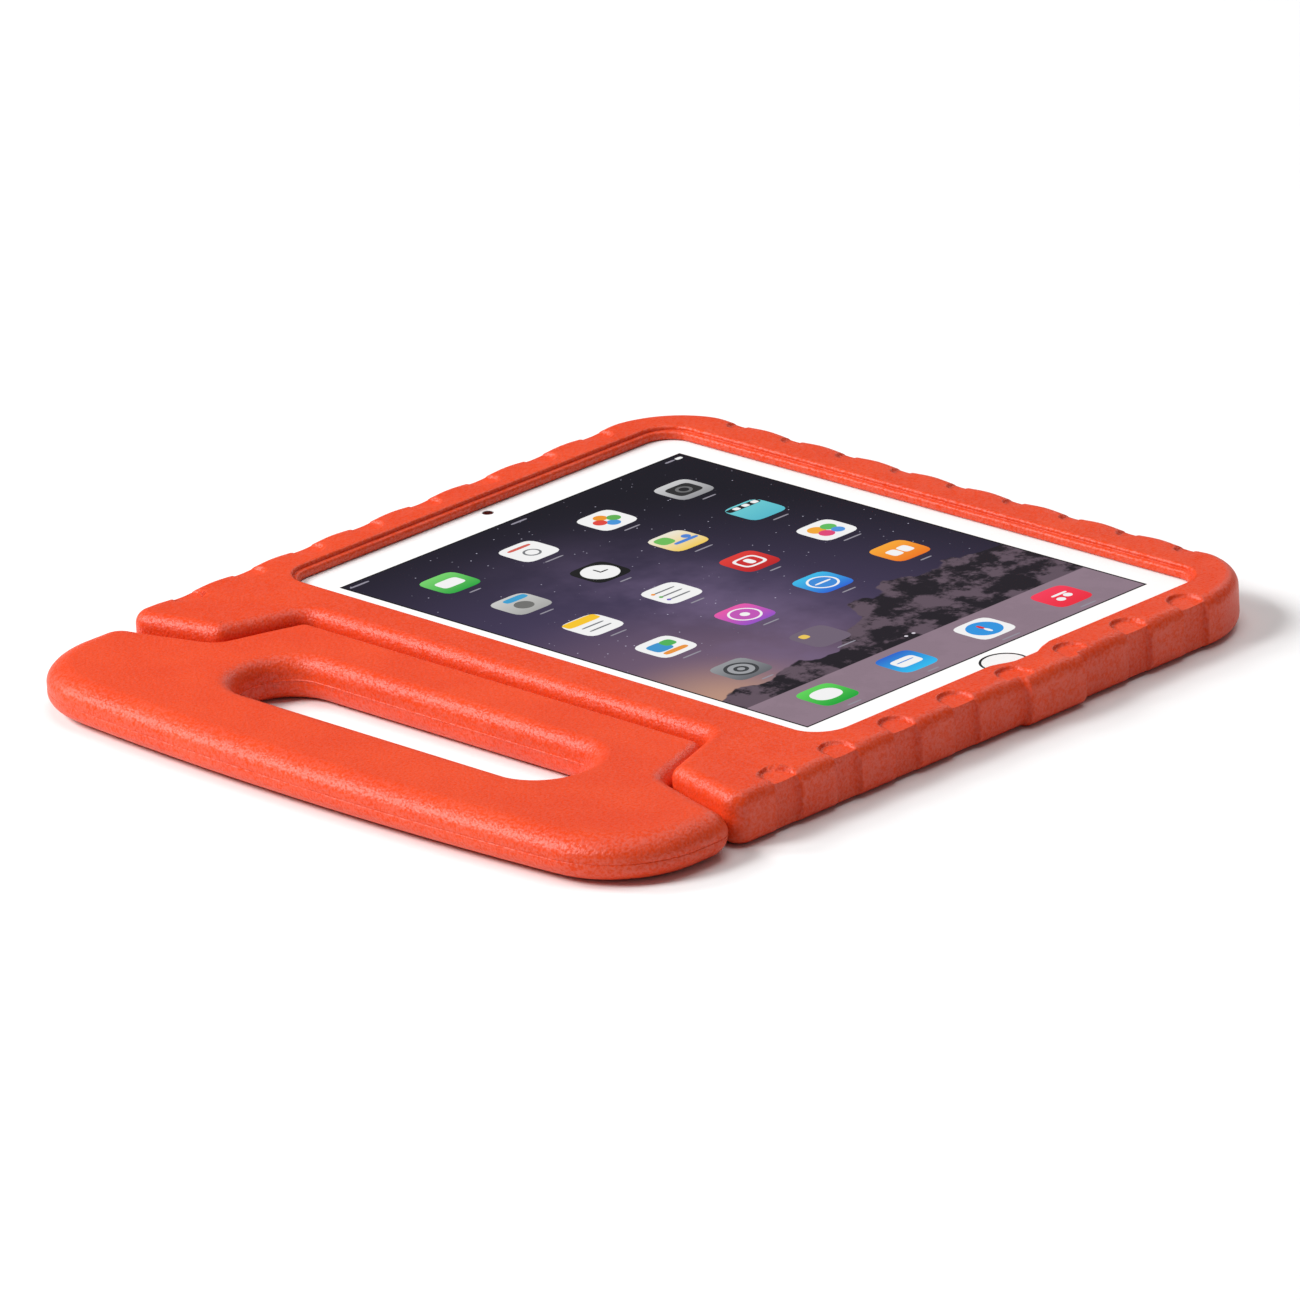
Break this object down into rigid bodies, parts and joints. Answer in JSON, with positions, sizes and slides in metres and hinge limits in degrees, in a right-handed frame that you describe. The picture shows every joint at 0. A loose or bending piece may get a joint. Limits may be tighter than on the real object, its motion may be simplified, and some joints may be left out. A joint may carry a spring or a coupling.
{
  "type": "tablet case",
  "caption": "Moulded foam bumper case holding a tablet under a stepped lip, with a swing-out carry handle that folds back as a stand.",
  "frame": {"origin": "middle of the underside of the whole object's box, with the handle folded flat", "axes": "+X along the tablet's long side towards its home button, +Y from the handle to the far edge, +Z out of the screen"},
  "size_m": [0.263, 0.29, 0.0167],
  "materials": {
    "foam_body": "fine leathery grain, satin",
    "foam_handle": "fine leathery grain, satin",
    "nylon": "matte",
    "tablet_aluminium": "bead-blasted",
    "front_glass": "gloss white border, lit screen",
    "display": "gloss",
    "battery_pouch": "satin foil",
    "circuit_board": "solder mask",
    "black_plastic": "matte",
    "port_steel": "plated",
    "lens": "gloss",
    "white_plastic": "gloss"
  },
  "bodies": {
    "case": {"case_body": "foam_body", "pivot_pin_left": "nylon", "pivot_pin_right": "nylon", "tablet_rear_housing": "tablet_aluminium", "tablet_front_glass": "front_glass", "tablet_display_panel": "display", "tablet_battery_cell_left": "battery_pouch", "tablet_battery_cell_right": "battery_pouch", "tablet_logic_board": "circuit_board", "tablet_speaker_left": "black_plastic", "tablet_speaker_right": "black_plastic", "tablet_charge_port": "port_steel", "tablet_headphone_jack": "black_plastic", "tablet_rear_camera": "lens", "tablet_front_camera": "lens"},
    "handle": {"handle": "foam_handle", "pivot_bush_left": "nylon", "pivot_bush_right": "nylon"},
    "home_button": {"tablet_home_button": "white_plastic"},
    "volume_up": {"tablet_volume_up_button": "tablet_aluminium"},
    "volume_down": {"tablet_volume_down_button": "tablet_aluminium"},
    "mute": {"tablet_mute_switch": "tablet_aluminium"},
    "power": {"tablet_power_button": "tablet_aluminium"}
  },
  "joints": [
    {"name": "handle_pivot", "type": "hinge", "parent": "case", "child": "handle", "pos_m": [0, -0.0651, 0.007], "axis": [1, 0, 0], "range_deg": [0, 95]},
    {"name": "home_press", "type": "slide", "parent": "case", "child": "home_button", "axis": [0, 0, -1], "range_m": [0, 0.0003], "stiffness_N_per_m": 1500},
    {"name": "volume_up_press", "type": "slide", "parent": "case", "child": "volume_up", "axis": [0, -1, 0], "range_m": [0, 0.0003], "stiffness_N_per_m": 1500},
    {"name": "volume_down_press", "type": "slide", "parent": "case", "child": "volume_down", "axis": [0, -1, 0], "range_m": [0, 0.0003], "stiffness_N_per_m": 1500},
    {"name": "power_press", "type": "slide", "parent": "case", "child": "power", "axis": [1, 0, 0], "range_m": [0, 0.0003], "stiffness_N_per_m": 1500},
    {"name": "mute_slide", "type": "slide", "parent": "case", "child": "mute", "axis": [1, 0, 0], "range_m": [0, 0.002]}
  ]
}
